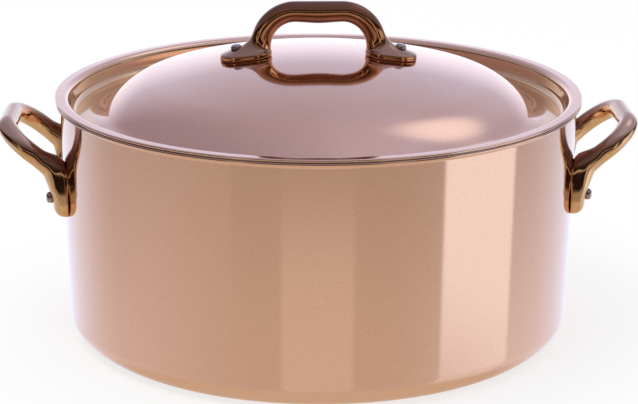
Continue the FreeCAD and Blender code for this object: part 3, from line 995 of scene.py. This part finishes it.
def lid_handle_rings():
    """Rings of the lid handle, from its right foot over the grip to its left foot."""
    bar_height = APEX + BRIDGE_HEIGHT
    half_spread = BRIDGE_SPREAD / 2
    start_height = APEX + FLARE_HEIGHT
    corners = [Vector((half_spread, 0, start_height - LEG_LEAD)), Vector((half_spread, 0, bar_height)),
               Vector((0, 0, bar_height))]
    path = rounded_path(corners, [BRIDGE_CORNER], BRIDGE_SPACING)
    frames = frames_along(path, Vector((1, 0, 0)))
    first = next(index for index, spot in enumerate(path) if spot.z >= start_height)
    rings = []
    for spot, (tangent, side, face) in zip(path[first:], frames[first:]):
        swell = math.exp(-(spot.x / BRIDGE_SWELL_LENGTH) ** 2) * BRIDGE_SWELL
        centre = spot - Vector((0, 0, swell / 2))
        radius = BRIDGE_BAR / 2 + swell / 2
        squareness = BRIDGE_SQUARENESS
        rings.append(section(centre, side, face, radius, radius, squareness, squareness))
    first_tangent = frames[first][0]
    rings = foot_rings(rings[0], first_tangent) + rings
    return rings + mirrored(rings[-2::-1], 0)


# The whole casserole


def dress(piece, body, slot, *nodes):
    """Join a piece to its body and let it stand for its nodes."""
    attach(piece, body)
    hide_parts(*nodes)


def pad_seats():
    """Place and direction of the four side rivets, on the pads' outer faces."""
    seats = []
    for side in (-1, 1):
        for end in (-1, 1):
            aim = Vector((side * PAD_OUT.x, end * PAD_OUT.y, 0))
            place = aim * (PAD_RADIUS + PAD_THICKNESS / 2)
            place.z = PAD_RIVET_HEIGHT
            seats.append((place, aim))
    return seats


def foot_seats():
    """Place and direction of the two lid rivets, square to the dome."""
    centre = Vector((0, 0, APEX - CROWN_RADIUS))
    seats = []
    for side in (-1, 1):
        x = side * (FOOT_TIP - FOOT_RIVET_INSET)
        aim = (Vector((x, 0, dome_height(x, 0))) - centre).normalized()
        seats.append((centre + aim * (CROWN_RADIUS + FOOT_THICKNESS), aim))
    return seats


def build_pot():
    """Body, lining, both loop handles and their rivets."""
    body = turned_piece("copper_body", pot_shell_outline(), BODY_COPPER)
    dress(body, "pot", "copper", "pot_shell")
    inside = turned_piece("pot_inside", pot_lining_outline(), LINING_STEEL)
    dress(inside, "pot", "lining_steel", "pot_lining")
    right = side_handle_rings()
    left = mirrored(mirrored(right, 0), 1)
    for side, rings in (("right", right), ("left", left)):
        loop = cast_piece(side + "_loop_handle", rings, BRONZE)
        dress(loop, "pot", "bronze", side + "_handle")
    grip = PAD_THICKNESS + POT_WALL
    nodes = [f"{side}_handle_{end}_rivet" for side in ("left", "right") for end in ("front", "rear")]
    rivets = rivet_piece("side_rivets", grip, pad_seats())
    dress(rivets, "pot", "rivet_steel", *nodes)


def build_lid():
    """Lid, lining, bridge handle and its rivets."""
    lid = turned_piece("copper_lid", lid_shell_outline(), LID_COPPER_FINISH)
    dress(lid, "lid", "copper", "lid_shell")
    inside = turned_piece("lid_inside", lid_lining_outline(), LINING_STEEL)
    dress(inside, "lid", "lining_steel", "lid_lining")
    bridge = cast_piece("lid_bridge_handle", lid_handle_rings(), BROWN_BRONZE)
    dress(bridge, "lid", "bronze", "lid_handle")
    grip = FOOT_THICKNESS + LID_WALL
    nodes = ["lid_left_rivet", "lid_right_rivet"]
    rivets = rivet_piece("lid_rivets", grip, foot_seats())
    dress(rivets, "lid", "rivet_steel", *nodes)


# Studio


def between(board, value, span, edge):
    """1 between the two ends of a span, soft at both."""
    start, end = span
    return board.smooth(value, start - edge, start + edge) - board.smooth(value, end - edge, end + edge)


def on_panel(board, azimuth, panel):
    """1 in the directions of a panel."""
    return between(board, azimuth, panel.azimuths, panel.edge)


def table_tone(board, azimuth, drop):
    """What metal sees below the horizon: a warm table, paler behind, with two cards and a soft box."""
    aside = board.add("ShaderNodeMath", {"operation": "ABSOLUTE"}, {0: azimuth})
    sides = board.mix(board.smooth(azimuth, *TABLE_ACROSS), TABLE_LEFT, TABLE_RIGHT)
    tone = board.mix(board.smooth(aside, *TABLE_ASIDE), TABLE_FRONT, sides)
    left_card = on_panel(board, azimuth, LEFT_CARD) * (1 - board.smooth(drop, *LEFT_CARD_DROPS))
    tone = board.mix(left_card * LEFT_CARD_SHARE, tone, LEFT_CARD.tone)
    front_card = on_panel(board, azimuth, FRONT_CARD) * board.smooth(drop, *FRONT_CARD_DROPS)
    tone = board.mix(front_card, tone, FRONT_CARD.tone)
    shade = TABLE_LEAST_SHADE + TABLE_SHADE_GAIN * board.smooth(drop, *TABLE_SHADE_DROPS)
    tone = board.add("ShaderNodeVectorMath", {"operation": "SCALE"}, {0: tone, "Scale": shade})
    paler = board.smooth(aside, *TABLE_BACKWARD)
    paler = paler * (1 - TABLE_BACK_LOSS * board.smooth(drop, *TABLE_BACK_DROPS))
    tone = board.mix(paler, tone, TABLE_BEHIND)
    lit = on_panel(board, azimuth, SOFT_BOX) * (1 - SOFT_BOX_LOSS * board.smooth(drop, *SOFT_BOX_DROPS))
    tone = board.mix(lit, tone, SOFT_BOX.tone)
    return board.mix(board.smooth(drop, *TABLE_NEAR_DROPS), tone, TABLE_NEAR)


def room_tone(board, azimuth, ahead, height):
    """What metal sees at the horizon: a dim room with two glints, a ledge and the soft box's top."""
    tone = board.mix(board.smooth(height, *ROOM_HEIGHTS), ROOM_LOW, ROOM_HIGH)
    for glint in (LEFT_GLINT, RIGHT_GLINT):
        shine = on_panel(board, azimuth, glint) * (1 - board.smooth(height, *GLINT_HEIGHTS))
        tone = board.mix(shine * GLINT_SHARE, tone, glint.tone)
    ledge = between(board, height, LEDGE_HEIGHTS, LEDGE_EDGE) * board.smooth(ahead, *LEDGE_AHEAD)
    tone = board.mix(ledge * LEDGE_SHARE, tone, LEDGE_TONE)
    box_top = on_panel(board, azimuth, SOFT_BOX_TOP) * (1 - board.smooth(height, *SOFT_BOX_TOP_HEIGHTS))
    return board.mix(box_top, tone, SOFT_BOX_TOP.tone)


def ceiling_tone(board, direction, across):
    """What metal sees above: a lavender ceiling, dimmer on the left, with a window on the right."""
    tone = board.add("ShaderNodeValToRGB", {"stops": CEILING_TONES}, {0: 0.5 + 0.5 * across})
    settings = {"operation": "DOT_PRODUCT"}
    inputs = {0: direction, 1: WINDOW_DIRECTION}
    facing = board.add("ShaderNodeVectorMath", settings, inputs, "Value")
    glow = board.smooth(facing, *WINDOW_SPREAD) ** 2
    return board.mix(glow, tone, WINDOW_TONE)


def studio_tone(board, direction):
    """What metal sees in any direction: table, room, ceiling and a bright backdrop behind."""
    x, y, height = board.parts(direction)
    turn = board.add("ShaderNodeMath", {"operation": "ARCTAN2"}, {0: x, 1: 0 - y})
    azimuth = turn * (180 / math.pi)
    ahead = (0 - y) / (flat_length(x, y) + FLAT_LEAST)
    room = room_tone(board, azimuth, ahead, height)
    tone = board.mix(board.smooth(height, *HORIZON), table_tone(board, azimuth, 0 - height), room)
    overhead = board.smooth(height - CEILING_LEAN * ahead, *CEILING_HEIGHTS)
    overhead = overhead * board.smooth(height, *CEILING_LEAST_HEIGHTS)
    tone = board.mix(overhead, tone, ceiling_tone(board, direction, x))
    backdrop = board.add("ShaderNodeValToRGB", {"stops": BACKDROP_TONES}, {0: height})
    behind = board.smooth(0 - ahead, *BACKDROP_BEHIND) * board.smooth(height, *BACKDROP_FOOT)
    return board.mix(behind * (1 - board.smooth(height, *BACKDROP_HEAD)), tone, backdrop)


def build_world():
    """White to the camera, plain light to dull surfaces, and the studio to metal."""
    world = bpy.data.worlds.new("studio")
    bpy.context.scene.world = world
    world.use_nodes = True
    world.node_tree.nodes.clear()
    board = Board(world.node_tree)
    direction = board.add("ShaderNodeTexCoord", None, None, 0)
    camera_ray = board.add("ShaderNodeLightPath", None, None, "Is Camera Ray")
    glossy_ray = board.add("ShaderNodeLightPath", None, None, "Is Glossy Ray")
    plain = board.mix(camera_ray, PLAIN_LIGHT, WHITE)
    colour = board.mix(glossy_ray, plain, studio_tone(board, direction))
    background = board.add("ShaderNodeBackground", None, {"Color": colour, "Strength": 1.0})
    board.add("ShaderNodeOutputWorld", None, {"Surface": background})


def build_floor():
    """A pale table that keeps the shadow and lets metal see the studio."""
    corners = [(x * FLOOR_HALF, y * FLOOR_HALF, 0) for x, y in ((-1, -1), (1, -1), (1, 1), (-1, 1))]
    mesh = bpy.data.meshes.new("floor")
    mesh.from_pydata(corners, [], [(0, 1, 2, 3)])
    material, board = new_material("pale_floor")
    place = object_place(board)
    tone = board.mix(board.noise(place, scale=3.0), *FLOOR_TONES)
    cloth = board.add("ShaderNodeBsdfDiffuse", None, {"Color": tone})
    glow = board.add("ShaderNodeEmission", None, {"Color": as_colour(WHITE), "Strength": FLOOR_GLOW})
    camera_ray = board.add("ShaderNodeLightPath", None, None, "Is Camera Ray")
    glossy_ray = board.add("ShaderNodeLightPath", None, None, "Is Glossy Ray")
    lit = board.add("ShaderNodeMixShader", None, {0: camera_ray * FLOOR_GLOW_SHARE, 1: cloth, 2: glow})
    clear = board.add("ShaderNodeBsdfTransparent")
    shader = board.add("ShaderNodeMixShader", None, {0: glossy_ray, 1: lit, 2: clear})
    board.add("ShaderNodeOutputMaterial", None, {"Surface": shader})
    mesh.materials.append(material)
    shown("floor", mesh)


def build_lamp(name, place, target, size, power, colour):
    """One soft lamp."""
    light = bpy.data.lights.new(name, "AREA")
    light.shape = "RECTANGLE"
    light.size, light.size_y = size
    light.energy = power
    light.color = colour
    lamp = bpy.data.objects.new(name, light)
    lamp.location = place
    lamp.rotation_euler = (Vector(target) - Vector(place)).to_track_quat("-Z", "Y").to_euler()
    lamp.visible_glossy = False
    bpy.context.scene.collection.objects.link(lamp)


def build_camera():
    """Camera at the photograph's angle."""
    azimuth = math.radians(CAMERA_AZIMUTH)
    elevation = math.radians(CAMERA_ELEVATION)
    back = Vector((math.sin(azimuth) * math.cos(elevation), -math.cos(azimuth) * math.cos(elevation),
                   math.sin(elevation)))
    data = bpy.data.cameras.new("camera")
    data.sensor_fit = "HORIZONTAL"
    data.sensor_width = SENSOR_WIDTH
    data.lens = SENSOR_WIDTH * FOCAL_PIXELS / IMAGE_WIDTH
    camera = bpy.data.objects.new("camera", data)
    camera.location = Vector(CAMERA_TARGET) + back * CAMERA_DISTANCE
    roll = Matrix.Rotation(math.radians(CAMERA_ROLL), 3, "Z")
    camera.rotation_euler = (back.to_track_quat("Z", "Y").to_matrix() @ roll).to_euler()
    bpy.context.scene.collection.objects.link(camera)
    bpy.context.scene.camera = camera


bpy.context.scene.view_settings.view_transform = "Standard"
build_pot()
build_lid()
build_world()
build_floor()
build_lamp("key_lamp", place=(-0.5, -0.3, 1.4), target=(0, 0, 0.1), size=(0.9, 0.6), power=5.0,
           colour=(1.0, 0.98, 0.96))
build_camera()
